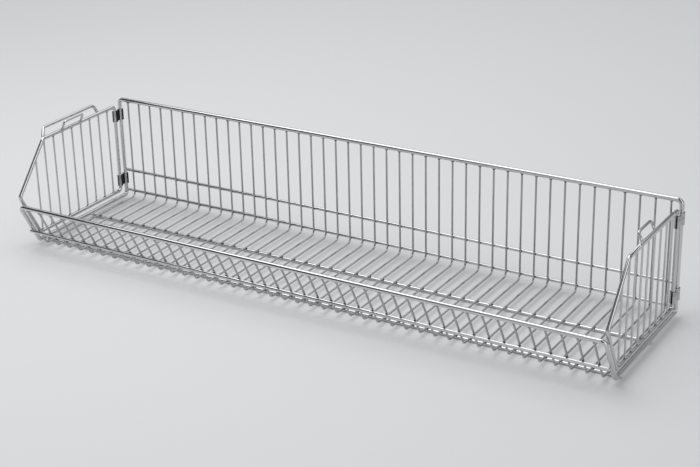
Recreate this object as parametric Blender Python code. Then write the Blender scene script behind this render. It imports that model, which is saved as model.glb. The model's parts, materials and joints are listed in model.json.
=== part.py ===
"""Chrome wire stacking basket with two end panels that fold in against the back.

Units are metres, +Z is up, +X runs along the basket and -Y is its front. The origin is on the
surface that the basket stands on, under the middle of its length and depth.
"""

import math

import bmesh
import bpy
from mathutils import Matrix, Vector

MM = 0.001
OBJECT_NAME = "stacking_basket"

# Wire and sheet stock
BORDER_DIAMETER = 7.0 * MM
WIRE_DIAMETER = 3.0 * MM
RAIL_DIAMETER = 5.0 * MM
END_FRAME_DIAMETER = 6.0 * MM
END_WIRE_DIAMETER = 3.0 * MM
STACKING_LOOP_DIAMETER = 5.0 * MM
LOCATING_LOOP_DIAMETER = 4.0 * MM
CLIP_SHEET = 1.2 * MM

# Fits: the seam between welded pieces, and the play of the wire that turns in a clip
WELD_GAP = 0.3 * MM
HINGE_CLEARANCE = 0.3 * MM

# Basket body, measured on the border wire's centre line
WIRE_COUNT = 43
WIRE_PITCH = 22.5 * MM
END_MARGIN = 16.0 * MM
BACK_HEIGHT = 170.0 * MM
FLOOR_DEPTH = 224.0 * MM
LIP_HEIGHT = 69.0 * MM
LIP_OUTREACH = 37.0 * MM
TOP_CORNER_RADIUS = 8.0 * MM
LIP_CORNER_RADIUS = 9.0 * MM
BACK_BEND_RADIUS = 6.0 * MM
FRONT_BEND_RADIUS = 6.0 * MM

# Cross rails
FLOOR_RAIL_SETBACK = 92.0 * MM
FRONT_RAIL_SETBACK = 20.0 * MM
LIP_RAIL_CLIMB = 28.0 * MM

# End panels
HINGE_SPACING = 15.0 * MM
END_TOP_DROP = 9.0 * MM
END_FLOOR_RISE = 12.0 * MM
END_LIP_GAP = 2.0 * MM
END_CORNER_RISE = 14.5 * MM
END_SLANT = math.radians(40.0)
END_BEND_RADIUS = 7.0 * MM
END_WIRE_COUNT = 9
END_WIRE_PITCH = 22.5 * MM
END_REAR_MARGIN = 20.0 * MM

# Loops on the end panels' top rails; legs stand over the upright wires, counted from the hinge
STACKING_LEAN = math.radians(34.0)
STACKING_RISE = 16.0 * MM
STACKING_BEND_RADIUS = 6.0 * MM
STACKING_REAR_WIRE = 1
LOCATING_LEAN = math.radians(24.0)
LOCATING_RISE = 17.0 * MM
LOCATING_BEND_RADIUS = 5.0 * MM
LOCATING_WIRES = (3, 5)

# Hinge clips
CLIP_HEIGHT = 18.0 * MM
CLIP_SEAT_GAP = 1.5 * MM

# Plating: colour and roughness of the drawn wire and of the clips' sheet
CHROME_COLOUR = (0.78, 0.78, 0.79)
CHROME_ROUGHNESS = 0.08
SHEET_COLOUR = (0.70, 0.70, 0.71)
SHEET_ROUGHNESS = 0.16

# Facets: a bend takes at most its share of the straight run beside it
BEND_SHARE = 0.45
BEND_MIN_STEPS = 2
ARC_STEP = math.radians(22.5)
CLIP_ARC_STEP = math.radians(24.0)
WIRE_SIDES = 6
RAIL_SIDES = 8
BORDER_SIDES = 10
SMOOTH_ANGLE = math.radians(50.0)
MERGE_DISTANCE = 0.01 * MM

# Derived sizes
BORDER_RADIUS = BORDER_DIAMETER / 2
WIRE_RADIUS = WIRE_DIAMETER / 2
RAIL_RADIUS = RAIL_DIAMETER / 2
END_FRAME_RADIUS = END_FRAME_DIAMETER / 2
WIRE_OFFSET = BORDER_RADIUS - WIRE_RADIUS
RAIL_OFFSET = BORDER_RADIUS + WELD_GAP + RAIL_RADIUS
END_X = (WIRE_COUNT - 1) / 2 * WIRE_PITCH + END_MARGIN
LIP_LENGTH = math.hypot(LIP_OUTREACH, LIP_HEIGHT)
LIP_SIN = LIP_OUTREACH / LIP_LENGTH
LIP_COS = LIP_HEIGHT / LIP_LENGTH

# The rails under the floor stand on a flat of their octagon
RAIL_FLAT = RAIL_RADIUS * math.cos(math.pi / RAIL_SIDES)
FLOOR_Z = RAIL_OFFSET + RAIL_FLAT
BACK_TOP_Z = FLOOR_Z + BACK_HEIGHT
BACK_Y = (FLOOR_DEPTH + LIP_OUTREACH + BORDER_RADIUS - RAIL_OFFSET - RAIL_RADIUS) / 2
LIP_FOOT_Y = BACK_Y - FLOOR_DEPTH
HINGE_Y = BACK_Y - HINGE_SPACING
END_TOP_Z = BACK_TOP_Z - END_TOP_DROP
END_BOTTOM_Z = FLOOR_Z + END_FLOOR_RISE


def clear_scene():
    for item in list(bpy.data.objects):
        bpy.data.objects.remove(item, do_unlink=True)
    for group in list(bpy.data.collections):
        bpy.data.collections.remove(group)


def new_collection(name):
    group = bpy.data.collections.new(name)
    bpy.context.scene.collection.children.link(group)
    return group


def plated_steel(name, colour, roughness):
    material = bpy.data.materials.new(name)
    material.use_nodes = True
    shader = material.node_tree.nodes["Principled BSDF"]
    shader.inputs["Base Color"].default_value = (*colour, 1.0)
    shader.inputs["Metallic"].default_value = 1.0
    shader.inputs["Roughness"].default_value = roughness
    return material


def arc_round_corner(before, corner, after, radius):
    """Points of the bend that a wire makes at a corner, kept within its two straight runs."""
    to_before = before - corner
    to_after = after - corner
    turn = math.pi - to_before.angle(to_after)
    reach = math.tan(turn / 2)
    radius = min(radius, BEND_SHARE * min(to_before.length, to_after.length) / reach)
    start = corner + to_before.normalized() * radius * reach
    middle = (to_before.normalized() + to_after.normalized()).normalized()
    centre = corner + middle * radius / math.cos(turn / 2)
    axis = to_after.cross(to_before).normalized()
    steps = max(BEND_MIN_STEPS, round(turn / ARC_STEP))
    bend = []
    for step in range(steps + 1):
        swing = Matrix.Rotation(turn * step / steps, 3, axis)
        bend.append(centre + swing @ (start - centre))
    return bend


def bent_path(corners):
    """A wire's centre line through (point, bend radius) corners; a radius of 0 is a plain end.

    With a bend at every corner the line closes on itself.
    """
    places = [Vector(point) for point, _ in corners]
    path = []
    for index, (_, radius) in enumerate(corners):
        if radius:
            following = (index + 1) % len(places)
            path += arc_round_corner(places[index - 1], places[index], places[following], radius)
        else:
            path.append(places[index])
    return path


def add_wire(name, paths, diameter, sides, material, group, origin=(0, 0, 0), closed=False, tilt=0.0):
    """One curve object with a round section and closed ends; paths are in world coordinates."""
    curve = bpy.data.curves.new(name, "CURVE")
    curve.dimensions = "3D"
    curve.bevel_depth = diameter / 2
    curve.bevel_resolution = sides // 2 - 2
    curve.use_fill_caps = True
    for path in paths:
        spline = curve.splines.new("POLY")
        spline.points.add(len(path) - 1)
        for point, place in zip(spline.points, path):
            point.co = (*(Vector(place) - Vector(origin)), 1.0)
            point.tilt = tilt
        spline.use_cyclic_u = closed
    item = bpy.data.objects.new(name, curve)
    item.location = origin
    item.data.materials.append(material)
    group.objects.link(item)
    return item


def made_mesh(item):
    """The curve object turned into a mesh object of the same name and place."""
    bpy.context.view_layer.update()
    evaluated = item.evaluated_get(bpy.context.evaluated_depsgraph_get())
    mesh = bpy.data.meshes.new_from_object(evaluated)
    shell = bmesh.new()
    shell.from_mesh(mesh)
    bmesh.ops.remove_doubles(shell, verts=shell.verts, dist=MERGE_DISTANCE)
    shell.to_mesh(mesh)
    shell.free()
    mesh.shade_smooth()
    mesh.set_sharp_from_angle(angle=SMOOTH_ANGLE)
    name, group, place = item.name, item.users_collection[0], item.matrix_world.copy()
    bpy.data.objects.remove(item, do_unlink=True)
    solid = bpy.data.objects.new(name, mesh)
    solid.matrix_world = place
    group.objects.link(solid)
    return solid


def hang_on(hinge, item):
    """Parents a piece to the empty on its hinge axis, where the piece has its own origin too."""
    item.parent = hinge
    item.location = (0, 0, 0)


def offset_lip(offset, climb):
    """A point on the lip, moved out from the border's line and up along the lip from its foot."""
    y = LIP_FOOT_Y - offset * LIP_COS - climb * LIP_SIN
    z = FLOOR_Z - offset * LIP_SIN + climb * LIP_COS
    return y, z


def lip_foot(offset):
    """Where the floor and the lip meet, both moved out from the border's line."""
    return LIP_FOOT_Y - offset * (1 - LIP_SIN) / LIP_COS, FLOOR_Z - offset


def build_border(group, material):
    lip_top_y, lip_top_z = offset_lip(0, LIP_LENGTH)
    half_loop = (
        (BACK_Y, BACK_TOP_Z, TOP_CORNER_RADIUS),
        (BACK_Y, FLOOR_Z, BACK_BEND_RADIUS),
        (LIP_FOOT_Y, FLOOR_Z, FRONT_BEND_RADIUS),
        (lip_top_y, lip_top_z, LIP_CORNER_RADIUS),
    )
    corners = [((END_X, y, z), radius) for y, z, radius in half_loop]
    corners += [((-END_X, y, z), radius) for y, z, radius in reversed(half_loop)]
    path = bent_path(corners)
    add_wire("border_frame", [path], BORDER_DIAMETER, BORDER_SIDES, material, group, closed=True)


def build_basket_wires(group, material):
    """Each wire is back, floor and lip in one piece, flush with the border's outer side."""
    butt = BORDER_RADIUS + WELD_GAP
    foot_y, foot_z = lip_foot(WIRE_OFFSET)
    tip_y, tip_z = offset_lip(WIRE_OFFSET, LIP_LENGTH - butt)
    for index in range(WIRE_COUNT):
        x = (index - (WIRE_COUNT - 1) / 2) * WIRE_PITCH
        path = bent_path([
            ((x, BACK_Y + WIRE_OFFSET, BACK_TOP_Z - butt), 0),
            ((x, BACK_Y + WIRE_OFFSET, FLOOR_Z - WIRE_OFFSET), BACK_BEND_RADIUS + WIRE_OFFSET),
            ((x, foot_y, foot_z), FRONT_BEND_RADIUS + WIRE_OFFSET),
            ((x, tip_y, tip_z), 0),
        ])
        name = f"basket_wire_{index + 1:02d}"
        add_wire(name, [path], WIRE_DIAMETER, WIRE_SIDES, material, group)


def clip_heights():
    """Middle heights of the lower and upper clip, each against a bend of the end panel's frame."""
    lower_bottom = END_BOTTOM_Z + END_BEND_RADIUS + CLIP_SEAT_GAP
    upper_stop = min(END_TOP_Z - END_BEND_RADIUS, BACK_TOP_Z - TOP_CORNER_RADIUS)
    upper_top = upper_stop - CLIP_SEAT_GAP
    return lower_bottom + CLIP_HEIGHT / 2, upper_top - CLIP_HEIGHT / 2


def build_rails(group, material):
    """Straight rails across the outside of the wires, welded to the border's centre line at both ends."""
    lower_clip_top = clip_heights()[0] + CLIP_HEIGHT / 2
    behind = BACK_Y + RAIL_OFFSET
    below = FLOOR_Z - RAIL_OFFSET
    places = {
        "back_mid_rail": (behind, lower_clip_top + CLIP_SEAT_GAP + RAIL_RADIUS),
        "back_low_rail": (behind, FLOOR_Z + BACK_BEND_RADIUS),
        "floor_mid_rail": (BACK_Y - FLOOR_RAIL_SETBACK, below),
        "floor_front_rail": (LIP_FOOT_Y + FRONT_RAIL_SETBACK, below),
        "lip_rail": offset_lip(RAIL_OFFSET, LIP_RAIL_CLIMB),
    }
    flat_down = math.pi / RAIL_SIDES
    for name, (y, z) in places.items():
        path = [(-END_X, y, z), (END_X, y, z)]
        add_wire(name, [path], RAIL_DIAMETER, RAIL_SIDES, material, group, tilt=flat_down)


def end_panel_corners():
    """The end panel's five corners (y, z), from the lower rear one up, forward and back down."""
    inside_lip = -(BORDER_RADIUS + END_LIP_GAP + END_FRAME_RADIUS)
    wide_z = FLOOR_Z + LIP_HEIGHT + END_CORNER_RISE
    front_y = []
    for z in (wide_z, END_BOTTOM_Z):
        climb = (z - FLOOR_Z + inside_lip * LIP_SIN) / LIP_COS
        front_y.append(offset_lip(inside_lip, climb)[0])
    slant_run = (END_TOP_Z - wide_z) * math.tan(END_SLANT)
    return (
        (HINGE_Y, END_BOTTOM_Z),
        (HINGE_Y, END_TOP_Z),
        (front_y[0] + slant_run, END_TOP_Z),
        (front_y[0], wide_z),
        (front_y[1], END_BOTTOM_Z),
    )


def end_wire_y(index):
    return HINGE_Y - END_REAR_MARGIN - index * END_WIRE_PITCH


def end_wire_heights(y, corners):
    """Lower and upper end of an upright wire, on the frame's centre line at depth y."""
    crossings = []
    for (y0, z0), (y1, z1) in zip(corners, corners[1:] + corners[:1]):
        if min(y0, y1) <= y < max(y0, y1):
            crossings.append(z0 + (z1 - z0) * (y - y0) / (y1 - y0))
    return min(crossings), max(crossings)


def build_end_panel(name, x, hinge, group, cutters, material):
    """A five-sided bent frame with upright wires butted into it and welded to one piece."""
    axis_foot = (x, HINGE_Y, 0)
    corners = end_panel_corners()
    path = bent_path([((x, y, z), END_BEND_RADIUS) for y, z in corners])
    frame = add_wire(
        name, [path], END_FRAME_DIAMETER, RAIL_SIDES, material, group, axis_foot, closed=True
    )
    uprights = []
    for index in range(END_WIRE_COUNT):
        y = end_wire_y(index)
        low, high = end_wire_heights(y, corners)
        uprights.append([(x, y, low), (x, y, high)])
    wires = add_wire(
        f"{name}_wires", uprights, END_WIRE_DIAMETER, WIRE_SIDES, material, cutters, axis_foot
    )
    frame = made_mesh(frame)
    wires = made_mesh(wires)
    wires.hide_render = True
    wires.display_type = "WIRE"
    weld = frame.modifiers.new("weld_wires", "BOOLEAN")
    weld.operation = "UNION"
    weld.object = wires
    hang_on(hinge, frame)
    hang_on(hinge, wires)


def leaning_path(x, lean, steps):
    """A loop's path from (y, rise, bend radius) steps in the plane that leans about the top rail."""
    return bent_path([
        ((x + rise * math.sin(lean), y, END_TOP_Z + rise * math.cos(lean)), radius)
        for y, rise, radius in steps
    ])


def build_stacking_loop(name, x, side, hinge, group, material):
    """The long loop leans out; its front leg carries on the line of the panel's slanted edge."""
    radius = STACKING_LOOP_DIAMETER / 2
    rear_y = end_wire_y(STACKING_REAR_WIRE)
    corner_y = end_panel_corners()[2][0]
    seat = END_FRAME_RADIUS + WELD_GAP
    front_seat = seat + radius * math.sin(END_SLANT)
    path = leaning_path(x, side * STACKING_LEAN, (
        (rear_y, seat, 0),
        (rear_y, STACKING_RISE, STACKING_BEND_RADIUS),
        (corner_y + STACKING_RISE * math.tan(END_SLANT), STACKING_RISE, STACKING_BEND_RADIUS),
        (corner_y + front_seat * math.tan(END_SLANT), front_seat, 0),
    ))
    loop = add_wire(
        name, [path], STACKING_LOOP_DIAMETER, RAIL_SIDES, material, group, (x, HINGE_Y, 0)
    )
    hang_on(hinge, loop)


def build_locating_loop(name, x, side, hinge, group, material):
    """The short loop leans in, with a leg over each of two upright wires."""
    rear_y, front_y = (end_wire_y(index) for index in LOCATING_WIRES)
    seat = END_FRAME_RADIUS + WELD_GAP
    path = leaning_path(x, -side * LOCATING_LEAN, (
        (rear_y, seat, 0),
        (rear_y, LOCATING_RISE, LOCATING_BEND_RADIUS),
        (front_y, LOCATING_RISE, LOCATING_BEND_RADIUS),
        (front_y, seat, 0),
    ))
    loop = add_wire(
        name, [path], LOCATING_LOOP_DIAMETER, RAIL_SIDES, material, group, (x, HINGE_Y, 0)
    )
    hang_on(hinge, loop)


def circle_arc(centre_y, radius, start, end):
    steps = math.ceil((end - start) / CLIP_ARC_STEP)
    angles = [start + (end - start) * step / steps for step in range(steps + 1)]
    return [(radius * math.cos(a), centre_y + radius * math.sin(a)) for a in angles]


def clip_outline(border_bore, hinge_bore):
    """A strip rolled round both wires, its two layers pressed together between them."""
    border_ring = border_bore + CLIP_SHEET
    hinge_ring = hinge_bore + CLIP_SHEET
    border_gap = math.asin(CLIP_SHEET / border_ring)
    hinge_gap = math.asin(CLIP_SHEET / hinge_ring)
    quarter = math.pi / 2
    outline = circle_arc(0, border_ring, border_gap - quarter, 3 * quarter - border_gap)
    outline += circle_arc(-HINGE_SPACING, hinge_ring, quarter + hinge_gap, 5 * quarter - hinge_gap)
    return outline


def build_clip(name, x, z, group, material):
    border_bore = BORDER_RADIUS + WELD_GAP
    hinge_bore = END_FRAME_RADIUS + HINGE_CLEARANCE
    full_turn = 2 * math.pi
    outlines = (
        clip_outline(border_bore, hinge_bore),
        circle_arc(0, border_bore, 0, full_turn)[:-1],
        circle_arc(-HINGE_SPACING, hinge_bore, 0, full_turn)[:-1],
    )
    curve = bpy.data.curves.new(name, "CURVE")
    curve.dimensions = "2D"
    curve.fill_mode = "BOTH"
    curve.extrude = CLIP_HEIGHT / 2
    for outline in outlines:
        spline = curve.splines.new("POLY")
        spline.points.add(len(outline) - 1)
        for point, (across, along) in zip(spline.points, outline):
            point.co = (across, along, 0.0, 1.0)
        spline.use_cyclic_u = True
    item = bpy.data.objects.new(name, curve)
    item.location = (x, BACK_Y, z)
    item.data.materials.append(material)
    group.objects.link(item)


def build_end(label, side, group, cutters, chrome, sheet):
    """One end of the basket: the folding panel with its two loops, and the clips that hold it."""
    x = side * END_X
    hinge = bpy.data.objects.new(f"{label}_hinge_axis", None)
    hinge.location = (x, HINGE_Y, 0)
    group.objects.link(hinge)
    build_end_panel(f"{label}_end_panel", x, hinge, group, cutters, chrome)
    build_stacking_loop(f"{label}_stacking_loop", x, side, hinge, group, chrome)
    build_locating_loop(f"{label}_locating_loop", x, side, hinge, group, chrome)
    for level, z in zip(("lower", "upper"), clip_heights()):
        build_clip(f"{label}_{level}_hinge_clip", x, z, group, sheet)


def main():
    clear_scene()
    group = new_collection(OBJECT_NAME)
    cutters = new_collection(f"{OBJECT_NAME}_cutters")
    chrome = plated_steel("chrome_wire", CHROME_COLOUR, CHROME_ROUGHNESS)
    sheet = plated_steel("plated_sheet", SHEET_COLOUR, SHEET_ROUGHNESS)
    build_border(group, chrome)
    build_basket_wires(group, chrome)
    build_rails(group, chrome)
    build_end("left", -1, group, cutters, chrome, sheet)
    build_end("right", 1, group, cutters, chrome, sheet)


main()
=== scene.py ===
import json
import math
import random

import bmesh
import bpy
from mathutils import Matrix, Vector

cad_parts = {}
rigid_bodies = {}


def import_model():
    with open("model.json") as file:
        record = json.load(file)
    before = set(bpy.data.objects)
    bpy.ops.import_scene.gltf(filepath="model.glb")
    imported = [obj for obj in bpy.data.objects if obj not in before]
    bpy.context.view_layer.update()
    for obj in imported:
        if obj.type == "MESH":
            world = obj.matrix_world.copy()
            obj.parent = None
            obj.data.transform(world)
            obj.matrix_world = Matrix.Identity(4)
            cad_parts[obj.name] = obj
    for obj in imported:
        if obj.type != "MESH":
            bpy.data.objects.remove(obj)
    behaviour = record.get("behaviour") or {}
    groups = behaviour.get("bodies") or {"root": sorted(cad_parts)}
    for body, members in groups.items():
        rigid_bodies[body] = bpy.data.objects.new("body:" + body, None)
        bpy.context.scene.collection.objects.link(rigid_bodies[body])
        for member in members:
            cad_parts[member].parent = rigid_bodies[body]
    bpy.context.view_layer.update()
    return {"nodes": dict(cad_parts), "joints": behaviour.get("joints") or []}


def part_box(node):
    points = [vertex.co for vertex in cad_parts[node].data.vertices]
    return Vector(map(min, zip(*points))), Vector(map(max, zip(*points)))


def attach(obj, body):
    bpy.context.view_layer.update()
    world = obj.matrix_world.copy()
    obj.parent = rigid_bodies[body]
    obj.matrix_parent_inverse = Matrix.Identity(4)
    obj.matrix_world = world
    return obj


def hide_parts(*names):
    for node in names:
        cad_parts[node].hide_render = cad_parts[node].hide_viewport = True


for stray in list(bpy.data.objects):
    bpy.data.objects.remove(stray, do_unlink=True)

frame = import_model()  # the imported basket, fixed in place


# shader maths: a socket that adds Math nodes when it is used in an expression
class Sock:
    def __init__(self, tree, out=None):
        self.tree = tree
        self.out = out

    def make(self, kind, settings=None, sockets=None, output=0):
        node = self.tree.nodes.new(kind)
        for key, value in (settings or {}).items():
            if key == "stops":
                setStops(node.color_ramp, value)
            else:
                setattr(node, key, value)
        for key, value in (sockets or {}).items():
            if isinstance(value, Sock):
                self.tree.links.new(value.out, node.inputs[key])
            else:
                node.inputs[key].default_value = value
        return Sock(self.tree, node.outputs[output] if node.outputs else None)

    def maths(self, operation, first, second):
        return self.make("ShaderNodeMath", {"operation": operation}, {0: first, 1: second})

    def __add__(self, other):
        return self.maths("ADD", self, other)

    def __radd__(self, other):
        return self.maths("ADD", other, self)

    def __sub__(self, other):
        return self.maths("SUBTRACT", self, other)

    def __rsub__(self, other):
        return self.maths("SUBTRACT", other, self)

    def __mul__(self, other):
        return self.maths("MULTIPLY", self, other)

    def __rmul__(self, other):
        return self.maths("MULTIPLY", other, self)

    def __truediv__(self, other):
        return self.maths("DIVIDE", self, other)

    def __rtruediv__(self, other):
        return self.maths("DIVIDE", other, self)


def setStops(ramp, stops):
    for place, shade in stops[len(ramp.elements):]:
        ramp.elements.new(place)
    for element, (place, shade) in zip(ramp.elements, stops):
        element.position = place
        element.color = (shade, shade, shade, 1.0)


def newTree(owner):
    owner.use_nodes = True
    owner.node_tree.nodes.clear()
    return Sock(owner.node_tree)


def splitAxes(tree, vector, axes="XYZ"):
    return [tree.make("ShaderNodeSeparateXYZ", None, {"Vector": vector}, output=axis) for axis in axes]


def mixColours(tree, share, first, second):
    # inputs 6 and 7 are the Mix node's two colours, output 2 is its mixed colour
    first, second = (shade if isinstance(shade, Sock) else (*shade, 1.0) for shade in (first, second))
    sockets = {"Factor": share, 6: first, 7: second}
    return tree.make("ShaderNodeMix", {"data_type": "RGBA"}, sockets, output=2)


def fade(tree, value, start, end, style="LINEAR"):
    # 0 up to start, 1 from end on
    return tree.make("ShaderNodeMapRange", {"interpolation_type": style},
                     {"Value": value, "From Min": start, "From Max": end})


def makeNoise(tree, place, scale, detail):
    return tree.make("ShaderNodeTexNoise", None, {"Vector": place, "Scale": scale, "Detail": detail})


def makeStreaks(tree, place, stretch, detail):
    # noise packed tight on the axes with a large stretch, so it runs in lines along the others
    stretched = tree.make("ShaderNodeVectorMath", {"operation": "MULTIPLY"}, {0: place, 1: stretch})
    return makeNoise(tree, stretched, 1.0, detail)


def makeBump(tree, look, height):
    return tree.make("ShaderNodeBump", None, {
        "Strength": look["bumpStrength"],
        "Distance": look["bumpDepth"],
        "Height": height,
    })


def finishMetal(tree, colour, roughness, normal):
    shader = tree.make("ShaderNodeBsdfPrincipled", None, {
        "Base Color": colour,
        "Metallic": 1.0,
        "Roughness": roughness,
        "Normal": normal,
    })
    tree.make("ShaderNodeOutputMaterial", None, {"Surface": shader})


# bright plating on drawn wire: cloudy haze, fine drawing lines along the wire, a few pits. The wires,
# rails and ends take three shades of one plating: the wires' is painted darker as painted shade, for the
# darker surroundings they mirror
# each noise is its scale and detail
chromeLook = {
    "clean": (0.455, 0.459, 0.465),
    "hazy": (0.395, 0.399, 0.407),
    "roughClean": 0.045,
    "roughHazy": 0.13,
    "roughPits": 0.1,
    "hazeNoise": (14.0, 4.0),
    "hazeStops": ((0.42, 0.0), (0.72, 1.0)),
    "hazeShuffle": 20.0,  # keeps one piece's haze unlike the next one's
    "lineScale": 1400.0,
    "lineDrift": 6.0,
    "lineDetail": 2.0,
    "pitNoise": (520.0, 1.0),
    "pitStops": ((0.68, 0.0), (0.76, 1.0)),
    "lineHeight": 0.4,
    "pitDepth": 0.6,
    "hazeHeight": 0.3,
    "bumpStrength": 0.25,
    "bumpDepth": 0.00002,
}
# the rails' and ends' copies of the plating are painted lighter than the wires': painted light that
# brightens their reflections of the floor
railLook = dict(chromeLook, clean=(0.66, 0.664, 0.67), hazy=(0.58, 0.584, 0.592))  # border and rails
endLook = dict(chromeLook, clean=(0.62, 0.624, 0.63), hazy=(0.54, 0.544, 0.552))  # end panels and loops


def makeChrome(name, acrossAxes, look):
    material = bpy.data.materials.new(name)
    tree = newTree(material)
    place = tree.make("ShaderNodeTexCoord", output="Object")
    chance = tree.make("ShaderNodeObjectInfo", output="Random")
    scale, detail = look["hazeNoise"]
    haze = tree.make("ShaderNodeTexNoise", {"noise_dimensions": "4D"}, {
        "Vector": place,
        "W": chance * look["hazeShuffle"],
        "Scale": scale,
        "Detail": detail,
    })
    hazeMask = tree.make("ShaderNodeValToRGB", {"stops": look["hazeStops"]}, {"Fac": haze})
    stretch = [look["lineScale"] if axis in acrossAxes else look["lineDrift"] for axis in "xyz"]
    lines = makeStreaks(tree, place, stretch, look["lineDetail"])
    pits = makeNoise(tree, place, *look["pitNoise"])
    pitMask = tree.make("ShaderNodeValToRGB", {"stops": look["pitStops"]}, {"Fac": pits})
    height = lines * look["lineHeight"] - pitMask * look["pitDepth"] + haze * look["hazeHeight"]
    colour = mixColours(tree, hazeMask, look["clean"], look["hazy"])
    spread = look["roughHazy"] - look["roughClean"]
    roughness = look["roughClean"] + hazeMask * spread + pitMask * look["roughPits"]
    finishMetal(tree, colour, roughness, makeBump(tree, look, height))
    return material


# weld nuggets: painted near-black as painted shade, standing in for the contact shadow and dark
# reflections at the crossings; duller than the plating and a little lumpy
weldShadeLook = {
    "light": (0.07, 0.069, 0.067),
    "dark": (0.018, 0.0175, 0.017),
    "rough": 0.34,
    "roughGrain": 0.2,
    "grainNoise": (1100.0, 3.0),
    "bumpStrength": 0.35,
    "bumpDepth": 0.0002,
}


def makeShadedWeld(look):
    material = bpy.data.materials.new("weldMetal")
    tree = newTree(material)
    place = tree.make("ShaderNodeTexCoord", output="Object")
    grain = makeNoise(tree, place, *look["grainNoise"])
    colour = mixColours(tree, grain, look["dark"], look["light"])
    finishMetal(tree, colour, look["rough"] + grain * look["roughGrain"], makeBump(tree, look, grain))
    return material


# clip sheet: rolled strip with faint brushing up its height, duller at the scuffs
# on the basket's side the sheet is painted black as painted shade and dark reflection, and a band on each
# ring facing the basket's front is left bright as a painted highlight
sheetLook = {
    "clean": (0.50, 0.50, 0.51),
    "scuffed": (0.36, 0.36, 0.37),
    "blackened": (0.018, 0.018, 0.019),
    "rough": 0.09,
    "roughBrush": 0.08,
    "roughScuff": 0.14,
    "roughBlack": 0.3,
    "brush": (900.0, 900.0, 30.0),
    "brushDetail": 2.0,
    "scuffNoise": (160.0, 4.0),
    "scuffStops": ((0.52, 0.0), (0.70, 1.0)),
    "bumpStrength": 0.2,
    "bumpDepth": 0.00004,
    # the bright band on each ring is a painted highlight, turned towards the basket's front
    "bandFacing": math.radians(50.0),  # from straight into the basket, towards its front
    "noseTurn": math.radians(20.0),  # how far the blackening goes round the front of the hinge ring
    "bandHalves": {"border": 0.0018, "hinge": 0.0017},
    "bandEdge": 0.0005,
}


def makeClipSheet(name, look, inward, ringYs):
    material = bpy.data.materials.new(name)
    tree = newTree(material)
    place = tree.make("ShaderNodeTexCoord", output="Object")
    across, along = splitAxes(tree, place, "XY")
    inside = across * inward
    nose = tree.make("ShaderNodeMath", {"operation": "MINIMUM"}, {0: along - ringYs["hinge"], 1: 0.0})
    # painted shade and dark reflection: the sheet on the basket's side goes black, except a painted
    # highlight band on each ring
    paintedShadeMask = fade(tree, inside - nose * math.tan(look["noseTurn"]), 0.0, look["bandEdge"])
    for ring, ringY in ringYs.items():
        offHighlight = inside * math.sin(look["bandFacing"]) + (along - ringY) * math.cos(look["bandFacing"])
        away = tree.make("ShaderNodeMath", {"operation": "ABSOLUTE"}, {0: offHighlight})
        half = look["bandHalves"][ring]
        paintedShadeMask = paintedShadeMask * fade(tree, away, half, half + look["bandEdge"])
    brushed = makeStreaks(tree, place, look["brush"], look["brushDetail"])
    scuff = makeNoise(tree, place, *look["scuffNoise"])
    scuffMask = tree.make("ShaderNodeValToRGB", {"stops": look["scuffStops"]}, {"Fac": scuff})
    bare = mixColours(tree, scuffMask, look["clean"], look["scuffed"])
    colour = mixColours(tree, paintedShadeMask, bare, look["blackened"])
    worn = look["rough"] + brushed * look["roughBrush"] + scuffMask * look["roughScuff"]
    finishMetal(tree, colour, worn + paintedShadeMask * look["roughBlack"], makeBump(tree, look, brushed))
    return material


wireChrome = makeChrome("wireChrome", "x", chromeLook)
endChrome = makeChrome("endChrome", "x", endLook)
railChrome = makeChrome("railChrome", "yz", railLook)
# the weld nuggets' near-black finish is painted shade, for the basket's welds and the end panels' alike
weldMetal = makeShadedWeld(weldShadeLook)
print("materials: wire chrome, end chrome, rail chrome, weld metal")


# bent wire: corners with bend radii become a smooth centre line, swept by a round section
bendStyle = {
    "arcStep": math.radians(6.0),
    "leastSteps": 3,
    "endRounding": 0.0006,
    "endSteps": 4,
    "sharpFrom": math.radians(50.0),
    "merge": 0.00001,
}


def arcRound(before, corner, after, radius):
    toBefore = (before - corner).normalized()
    toAfter = (after - corner).normalized()
    turn = math.pi - toBefore.angle(toAfter)
    start = corner + toBefore * radius * math.tan(turn / 2)
    centre = corner + (toBefore + toAfter).normalized() * radius / math.cos(turn / 2)
    axis = toAfter.cross(toBefore).normalized()
    count = max(bendStyle["leastSteps"], round(turn / bendStyle["arcStep"]))
    turns = [Matrix.Rotation(turn * i / count, 3, axis) for i in range(count + 1)]
    return [centre + swing @ (start - centre) for swing in turns]


def bendPath(corners):
    places = [Vector(place) for place, radius in corners]
    path = []
    for i, (place, radius) in enumerate(corners):
        if radius:
            path += arcRound(places[i - 1], places[i], places[(i + 1) % len(places)], radius)
        else:
            path.append(places[i])
    return path


def roundEnds(path, radius):
    # the cut end of a wire: a small radius at its rim, as (place, share of the radius)
    rounding = bendStyle["endRounding"]
    ends = []
    for tip, inner in ((path[0], path[1]), (path[-1], path[-2])):
        along = (inner - tip).normalized()
        steps = []
        for i in range(bendStyle["endSteps"]):
            swing = math.pi / 2 * i / (bendStyle["endSteps"] - 1)
            share = (radius - rounding * (1 - math.sin(swing))) / radius
            steps.append((tip + along * rounding * (1 - math.cos(swing)), share))
        ends.append(steps)
    between = [(place, 1.0) for place in path[1:-1]]
    return ends[0] + between + ends[1][::-1]


def addSpline(curve, stations, closed):
    spline = curve.splines.new("POLY")
    spline.points.add(len(stations) - 1)
    for point, (place, share) in zip(spline.points, stations):
        point.co = (*place, 1.0)
        point.radius = share
    spline.use_cyclic_u = closed


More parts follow.
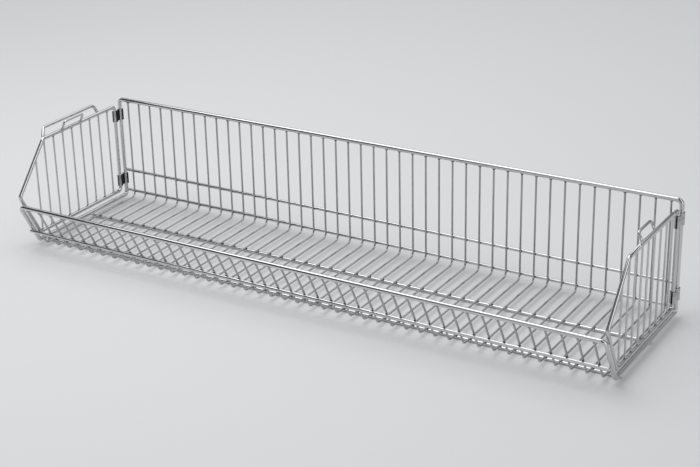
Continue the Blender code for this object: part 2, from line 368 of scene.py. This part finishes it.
def meshFromCurve(curve, sharpFrom):
    guide = bpy.data.objects.new(curve.name, curve)
    bpy.context.scene.collection.objects.link(guide)
    bpy.context.view_layer.update()
    mesh = bpy.data.meshes.new_from_object(guide.evaluated_get(bpy.context.evaluated_depsgraph_get()))
    bpy.data.objects.remove(guide, do_unlink=True)
    shell = bmesh.new()
    shell.from_mesh(mesh)
    bmesh.ops.remove_doubles(shell, verts=shell.verts, dist=bendStyle["merge"])
    bmesh.ops.recalc_face_normals(shell, faces=shell.faces)
    shell.to_mesh(mesh)
    shell.free()
    mesh.shade_smooth()
    mesh.set_sharp_from_angle(angle=sharpFrom)
    return mesh


def sweepMesh(name, paths, diameter, sides, closed=False):
    curve = bpy.data.curves.new(name, "CURVE")
    curve.dimensions = "3D"
    curve.bevel_depth = diameter / 2
    curve.bevel_resolution = sides // 2 - 2
    curve.use_fill_caps = not closed
    for path in paths:
        stations = [(place, 1.0) for place in path] if closed else roundEnds(path, diameter / 2)
        addSpline(curve, stations, closed)
    return meshFromCurve(curve, bendStyle["sharpFrom"])


def placePiece(name, mesh, material, body, nodes=(), place=(0, 0, 0)):
    piece = bpy.data.objects.new(name, mesh)
    piece.location = place
    if not mesh.materials:
        mesh.materials.append(material)
    bpy.context.scene.collection.objects.link(piece)
    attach(piece, body)
    if nodes:
        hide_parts(*nodes)
    return piece


def middle(node):
    low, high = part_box(node)
    return (low + high) / 2


def camelName(node):
    first, *others = node.split("_")
    return first + "".join(word.title() for word in others)


# border: one thick wire bent into the closed outline of back, floor ends and lip
border = {
    "diameter": 0.007,
    "floorDepth": 0.224,
    "lipHeight": 0.069,
    "lipOutreach": 0.037,
    "topCorner": 0.008,
    "lipCorner": 0.009,
    "backBend": 0.006,
    "frontBend": 0.006,
    "sides": 24,
}
rail = {"diameter": 0.005, "sides": 20}
wire = {"diameter": 0.003, "sides": 14, "sink": 0.0014}
weldGap = 0.0003  # the seam that the solids keep where the real ones are welded
railNodes = ("back_mid_rail", "back_low_rail", "floor_mid_rail", "floor_front_rail", "lip_rail")

hinge = {side: Vector(joint["pos_m"]) for side in ("left", "right")
         for joint in frame["joints"] if joint["name"].startswith(side)}
endX = hinge["right"].x
hingeY = hinge["right"].y
borderRadius = border["diameter"] / 2
wireShift = borderRadius - wire["diameter"] / 2  # wires lie flush with the border's outer side
railShift = borderRadius + weldGap + rail["diameter"] / 2
floorZ = middle("floor_mid_rail").z + railShift
backY = middle("back_mid_rail").y - railShift
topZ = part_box("basket_wire_01")[1].z + borderRadius + weldGap
lipFootY = backY - border["floorDepth"]
lipLength = math.hypot(border["lipHeight"], border["lipOutreach"])
lipSin = border["lipOutreach"] / lipLength
lipCos = border["lipHeight"] / lipLength


def lipPoint(shift, climb):
    # shift is out from the border's line, climb is up along the lip from its foot
    y = lipFootY - shift * lipCos - climb * lipSin
    return y, floorZ - shift * lipSin + climb * lipCos


def buildBorder():
    lipTop = lipPoint(0, lipLength)
    half = (
        (backY, topZ, border["topCorner"]),
        (backY, floorZ, border["backBend"]),
        (lipFootY, floorZ, border["frontBend"]),
        (*lipTop, border["lipCorner"]),
    )
    corners = [((endX, y, z), radius) for y, z, radius in half]
    corners += [((-endX, y, z), radius) for y, z, radius in reversed(half)]
    mesh = sweepMesh("borderFrame", [bendPath(corners)], border["diameter"], border["sides"], closed=True)
    placePiece("borderFrame", mesh, railChrome, "basket", ["border_frame"])


def buildWires():
    butt = borderRadius - wire["sink"]  # the ends run on into the border's weld
    footY = lipFootY - wireShift * (1 - lipSin) / lipCos
    path = bendPath([
        ((0, backY + wireShift, topZ - butt), 0),
        ((0, backY + wireShift, floorZ - wireShift), border["backBend"] + wireShift),
        ((0, footY, floorZ - wireShift), border["frontBend"] + wireShift),
        ((0, *lipPoint(wireShift, lipLength - butt)), 0),
    ])
    mesh = sweepMesh("basketWire", [path], wire["diameter"], wire["sides"])
    names = sorted(node for node in frame["nodes"] if node.startswith("basket_wire_"))
    for name in names:
        place = (middle(name).x, 0, 0)
        placePiece(camelName(name), mesh, wireChrome, "basket", [name], place)
    return [middle(name).x for name in names]


def buildRails():
    for name in railNodes:
        low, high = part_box(name)
        y, z = middle(name).yz
        path = [Vector((low.x, y, z)), Vector((high.x, y, z))]
        mesh = sweepMesh(camelName(name), [path], rail["diameter"], rail["sides"])
        placePiece(camelName(name), mesh, railChrome, "basket", [name])


buildBorder()
wireXs = buildWires()
buildRails()
print("basket: border,", len(wireXs), "wires,", len(railNodes), "rails")


# weld nuggets where the wires cross the rails and butt against the border
bead = {
    "along": 0.0024,
    "across": 0.0017,
    "out": 0.0012,
    "spread": 0.15,
    "topDrop": 0.0012,
    "lipSink": 0.0004,
    "endSize": 0.95,  # the end panels' nuggets against the basket's
    "segments": 12,
    "rings": 8,
    "seed": 11,
}
dice = random.Random(bead["seed"])
xAxis, yAxis, zAxis = Vector((1, 0, 0)), Vector((0, 1, 0)), Vector((0, 0, 1))


def buildBeads(name, spots, body, metal, size=1.0):
    shell = bmesh.new()
    for place, along, out in spots:
        along, out = along.normalized(), out.normalized()
        turn = Matrix((along, out.cross(along), out)).transposed().to_4x4()
        half = [size * bead[key] * dice.uniform(1 - bead["spread"], 1 + bead["spread"])
                for key in ("along", "across", "out")]
        seat = Matrix.Translation(place) @ turn @ Matrix.Diagonal((*half, 1.0))
        bmesh.ops.create_uvsphere(shell, u_segments=bead["segments"], v_segments=bead["rings"],
                                  radius=1.0, matrix=seat)
    mesh = bpy.data.meshes.new(name)
    shell.to_mesh(mesh)
    shell.free()
    mesh.shade_smooth()
    placePiece(name, mesh, metal, body)


def buildBasketWelds():
    lipOut = Vector((0, -lipCos, -lipSin))
    seam = borderRadius + weldGap / 2
    butt = borderRadius - bead["lipSink"]
    lipSeat = middle("lip_rail") - lipOut * (railShift - seam)
    rows = {
        "backMidWelds": ((backY + seam, middle("back_mid_rail").z), yAxis),
        "backLowWelds": ((backY + seam, middle("back_low_rail").z), yAxis),
        "floorMidWelds": ((middle("floor_mid_rail").y, floorZ - seam), -zAxis),
        "floorFrontWelds": ((middle("floor_front_rail").y, floorZ - seam), -zAxis),
        "lipRailWelds": (lipSeat.yz, lipOut),
        "backTopWelds": ((backY + wireShift, topZ - borderRadius - bead["topDrop"]), zAxis),
        "lipTopWelds": (lipPoint(wireShift, lipLength - butt), Vector((0, -lipSin, lipCos))),
    }
    for name, ((y, z), out) in rows.items():
        metal = wireChrome if name == "lipTopWelds" else weldMetal  # the lip's top welds are plated bright
        buildBeads(name, [(Vector((x, y, z)), xAxis, out) for x in wireXs], "basket", metal)


buildBasketWelds()
print("welds: basket")


# end panels: a five-sided frame, nine uprights, and the two loops on the top rail
endPanel = {
    "frame": 0.006,
    "upright": 0.003,
    "bend": 0.007,
    "lipGap": 0.002,
    "cornerRise": 0.0145,
    "slant": math.radians(40.0),
    "uprights": 9,
    "pitch": 0.0225,
    "rearMargin": 0.020,
    "loopSink": 0.0012,
    "sides": 20,
}
# the stacking loop leans out of the basket, the locating loop leans in
stackingLoop = {
    "diameter": 0.005,
    "lean": math.radians(34.0),
    "rise": 0.016,
    "bend": 0.006,
    "rearUpright": 1,
}
locatingLoop = {
    "diameter": 0.004,
    "lean": math.radians(-24.0),
    "rise": 0.017,
    "bend": 0.005,
    "uprights": (3, 5),
}


def panelCorners(node):
    low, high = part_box(node)
    radius = endPanel["frame"] / 2
    bottomZ, panelTopZ = low.z + radius, high.z - radius
    inside = -(borderRadius + endPanel["lipGap"] + radius)
    wideZ = floorZ + border["lipHeight"] + endPanel["cornerRise"]
    frontY = []
    for z in (wideZ, bottomZ):
        climb = (z - floorZ + inside * lipSin) / lipCos
        frontY.append(lipPoint(inside, climb)[0])
    slantRun = (panelTopZ - wideZ) * math.tan(endPanel["slant"])
    return [(hingeY, bottomZ), (hingeY, panelTopZ), (frontY[0] + slantRun, panelTopZ),
            (frontY[0], wideZ), (frontY[1], bottomZ)]


def uprightSpan(y, corners):
    heights = []
    for (y0, z0), (y1, z1) in zip(corners, corners[1:] + corners[:1]):
        if min(y0, y1) <= y < max(y0, y1):
            heights.append(z0 + (z1 - z0) * (y - y0) / (y1 - y0))
    return min(heights), max(heights)


def buildEndFrame(side, corners):
    path = bendPath([((hinge[side].x, y, z), endPanel["bend"]) for y, z in corners])
    mesh = sweepMesh(side + "EndFrame", [path], endPanel["frame"], endPanel["sides"], closed=True)
    placePiece(side + "EndFrame", mesh, endChrome, side + "_end", [side + "_end_panel"])


def buildUprights(side, corners, uprightYs):
    # gives back the weld spots where the uprights meet the frame
    x = hinge[side].x
    reach = endPanel["frame"] / 2
    uprights, spots = [], []
    for y in uprightYs:
        low, high = uprightSpan(y, corners)
        uprights.append([Vector((x, y, low)), Vector((x, y, high))])
        spots.append((Vector((x, y, low + reach)), yAxis, zAxis))
        spots.append((Vector((x, y, high - reach)), yAxis, -zAxis))
    mesh = sweepMesh(side + "EndUprights", uprights, endPanel["upright"], wire["sides"])
    placePiece(side + "EndUprights", mesh, endChrome, side + "_end")
    return spots


def buildLoop(side, kind, loop, panelTopZ, rearY, frontY, slope):
    # a bent wire that stands on the top rail; its front leg runs back by slope as it rises
    lean = loop["lean"] if side == "right" else -loop["lean"]
    seat = endPanel["frame"] / 2 - endPanel["loopSink"]  # loop ends run on into the weld on the rail
    steps = (
        (rearY, seat, 0),
        (rearY, loop["rise"], loop["bend"]),
        (frontY + loop["rise"] * slope, loop["rise"], loop["bend"]),
        (frontY + seat * slope, seat, 0),
    )
    x = hinge[side].x
    path = bendPath([((x + rise * math.sin(lean), y, panelTopZ + rise * math.cos(lean)), radius)
                     for y, rise, radius in steps])
    label = side + kind.title() + "Loop"
    mesh = sweepMesh(label, [path], loop["diameter"], rail["sides"])
    placePiece(label, mesh, endChrome, side + "_end", [f"{side}_{kind}_loop"])


def buildEnd(side):
    corners = panelCorners(side + "_end_panel")
    panelTopZ, cornerY = corners[1][1], corners[2][0]
    rearmostY = hingeY - endPanel["rearMargin"]
    uprightYs = [rearmostY - i * endPanel["pitch"] for i in range(endPanel["uprights"])]
    buildEndFrame(side, corners)
    spots = buildUprights(side, corners, uprightYs)
    rearY = uprightYs[stackingLoop["rearUpright"]]
    buildLoop(side, "stacking", stackingLoop, panelTopZ, rearY, cornerY, math.tan(endPanel["slant"]))
    rearY, frontY = (uprightYs[i] for i in locatingLoop["uprights"])
    buildLoop(side, "locating", locatingLoop, panelTopZ, rearY, frontY, 0.0)
    buildBeads(side + "EndWelds", spots, side + "_end", weldMetal, bead["endSize"])


# hinge clips: one strip rolled round the border and the panel's rear wire, its layers pressed together
clip = {
    "sheet": 0.0012,
    "play": 0.0003,
    "slit": 0.00012,
    "arcStep": math.radians(8.0),
    "sharpFrom": math.radians(35.0),
    "edge": 0.00022,
    "edgeSteps": 2,
    "edgeFrom": math.radians(60.0),
}


def ringArc(centreY, radius, start, end):
    count = max(bendStyle["leastSteps"], round((end - start) / clip["arcStep"]))
    turns = [start + (end - start) * i / count for i in range(count + 1)]
    return [(radius * math.cos(turn), centreY + radius * math.sin(turn)) for turn in turns]


def clipProfile(growth, waist):
    # outline round both wires: growth is out from the bores, waist is half the strip between them
    spacing = backY - hingeY
    borderRing = borderRadius + weldGap + growth
    hingeRing = endPanel["frame"] / 2 + clip["play"] + growth
    borderGap, hingeGap = math.asin(waist / borderRing), math.asin(waist / hingeRing)
    quarter = math.pi / 2
    return (ringArc(0, borderRing, borderGap - quarter, 3 * quarter - borderGap)
            + ringArc(-spacing, hingeRing, quarter + hingeGap, 5 * quarter - hingeGap))


def buildClip(node, label, material):
    low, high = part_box(node)
    curve = bpy.data.curves.new(label, "CURVE")
    curve.dimensions = "2D"
    curve.fill_mode = "BOTH"
    curve.extrude = (high.z - low.z) / 2
    for outline in (clipProfile(clip["sheet"], clip["sheet"]), clipProfile(0.0, clip["slit"] / 2)):
        addSpline(curve, [((across, along, 0.0), 1.0) for across, along in outline], True)
    mesh = meshFromCurve(curve, clip["sharpFrom"])
    place = (middle(node).x, backY, middle(node).z)
    piece = placePiece(label, mesh, material, "basket", [node], place)
    rounding = piece.modifiers.new("roundedEdges", "BEVEL")
    rounding.width = clip["edge"]
    rounding.segments = clip["edgeSteps"]
    rounding.limit_method = "ANGLE"
    rounding.angle_limit = clip["edgeFrom"]
    rounding.harden_normals = True


ringYs = {"border": 0.0, "hinge": hingeY - backY}
for side, inward in (("left", 1.0), ("right", -1.0)):
    buildEnd(side)
    clipSheet = makeClipSheet(side + "ClipSheet", sheetLook, inward, ringYs)
    for level in ("lower", "upper"):
        buildClip(f"{side}_{level}_hinge_clip", f"{side}{level.title()}Clip", clipSheet)
print("ends: panels, loops, welds, clips")


# studio: a pale floor, painted a little lighter far behind as painted light where the softbox's light
# falls off, one wide softbox overhead and pale walls
# the plating sees the walls as dark flags and light panels
studio = {
    "floorRadius": 14.0,
    "floorSides": 96,
    "floorRough": 0.75,
    "floorGloss": 0.2,
    "nearColour": (0.60, 0.604, 0.612),
    "farColour": (0.65, 0.654, 0.662),
    "farFrom": (0.5, 2.0),
    "cloudNoise": (1.3, 2.0),
    "cloudShare": 0.04,
    "wallColour": (0.75, 0.753, 0.758),
    "frontScale": 0.25,
    "frontMiddle": 0.5,
    "frontTones": (
        (0.14, 1.6),
        (0.18, 0.02),
        (0.45, 0.02),
        (0.51, 0.65),
        (0.59, 0.5),
        (0.62, 0.25),
        (0.65, 0.03),
    ),
    "sideFade": (0.0, 0.5),
    "backFlag": (0.27, 0.27, 0.275),
    "backGlow": (1.3, 1.3, 1.31),
    "glowDepth": (0.55, 0.68),
    "glowHeight": (0.45, 0.58),
}
softbox = {"place": (-0.53, 0.02, 1.7), "size": (2.0, 1.9), "turn": math.radians(-18.0), "strength": 1.7}


def addSoftbox():
    # strength is the box's own brightness, where 1 shows as white
    lamp = bpy.data.lights.new("overheadSoftbox", "AREA")
    lamp.shape = "RECTANGLE"
    lamp.size, lamp.size_y = softbox["size"]
    lamp.energy = softbox["strength"] * lamp.size * lamp.size_y * math.pi
    item = bpy.data.objects.new("overheadSoftbox", lamp)
    item.location = softbox["place"]
    item.rotation_euler = (0.0, 0.0, softbox["turn"])
    bpy.context.scene.collection.objects.link(item)


def makeFloorFinish():
    material = bpy.data.materials.new("paleFloor")
    tree = newTree(material)
    place = tree.make("ShaderNodeTexCoord", output="Object")
    behind, = splitAxes(tree, place, "Y")
    cloud = makeNoise(tree, place, *studio["cloudNoise"])
    # painted light: the floor's colour lightens far behind, where the softbox's light falls off
    far = fade(tree, behind, *studio["farFrom"], style="SMOOTHSTEP") + cloud * studio["cloudShare"]
    shader = tree.make("ShaderNodeBsdfPrincipled", None, {
        "Base Color": mixColours(tree, far, studio["nearColour"], studio["farColour"]),
        "Roughness": studio["floorRough"],
        "Specular IOR Level": studio["floorGloss"],
    })
    tree.make("ShaderNodeOutputMaterial", None, {"Surface": shader})
    return material


def buildFloor():
    shell = bmesh.new()
    bmesh.ops.create_circle(shell, cap_ends=True, segments=studio["floorSides"],
                            radius=studio["floorRadius"])
    mesh = bpy.data.meshes.new("paleFloor")
    shell.to_mesh(mesh)
    shell.free()
    mesh.materials.append(makeFloorFinish())
    floor = bpy.data.objects.new("paleFloor", mesh)
    bpy.context.scene.collection.objects.link(floor)


def buildWorld():
    world = bpy.data.worlds.new("studioWorld")
    bpy.context.scene.world = world
    tree = newTree(world)
    glossy = tree.make("ShaderNodeLightPath", output="Is Glossy Ray")
    across, behind, above = splitAxes(tree, tree.make("ShaderNodeTexCoord", output="Generated"))
    # what the plating sees of the room: in front a tone that changes from right to left, then the back
    bearing = across / behind * studio["frontScale"] + studio["frontMiddle"]
    front = tree.make("ShaderNodeValToRGB", {"stops": studio["frontTones"]}, {"Fac": bearing})
    flags = mixColours(tree, fade(tree, behind, *studio["sideFade"]), front, studio["backFlag"])
    glow = fade(tree, behind, *studio["glowDepth"]) * fade(tree, above, *studio["glowHeight"])
    flags = mixColours(tree, glow, flags, studio["backGlow"])
    shade = mixColours(tree, glossy, studio["wallColour"], flags)
    walls = tree.make("ShaderNodeBackground", None, {"Color": shade, "Strength": 1.0})
    tree.make("ShaderNodeOutputWorld", None, {"Surface": walls})


buildFloor()
buildWorld()
addSoftbox()
print("studio: floor, walls, softbox")


# camera at the photograph's viewing angle; distances in metres, image sizes in its pixels
view = {
    "imageWidth": 700.0,
    "sensor": 36.0,
    "focalPixels": 1570.5,
    "azimuth": math.radians(31.95),
    "elevation": math.radians(22.76),
    "roll": math.radians(-1.56),
    "distance": 2.32,
    "target": (0.0, 0.0, 0.090),
    "centreShift": (-19.5, -6.4),
}


def buildCamera():
    azimuth, elevation = view["azimuth"], view["elevation"]
    forward = Vector((-math.sin(azimuth) * math.cos(elevation),
                      math.cos(azimuth) * math.cos(elevation), -math.sin(elevation)))
    lens = bpy.data.cameras.new("photoCamera")
    lens.sensor_width = view["sensor"]
    lens.lens = view["focalPixels"] / view["imageWidth"] * view["sensor"]
    lens.shift_x = -view["centreShift"][0] / view["imageWidth"]
    lens.shift_y = view["centreShift"][1] / view["imageWidth"]
    camera = bpy.data.objects.new("photoCamera", lens)
    bpy.context.scene.collection.objects.link(camera)
    turn = forward.to_track_quat("-Z", "Y").to_matrix() @ Matrix.Rotation(view["roll"], 3, "Z")
    place = Vector(view["target"]) - forward * view["distance"]
    camera.matrix_world = Matrix.Translation(place) @ turn.to_4x4()
    bpy.context.scene.camera = camera


buildCamera()
bpy.context.scene.view_settings.view_transform = "Standard"
print("camera: lens", round(bpy.context.scene.camera.data.lens, 1), "mm")
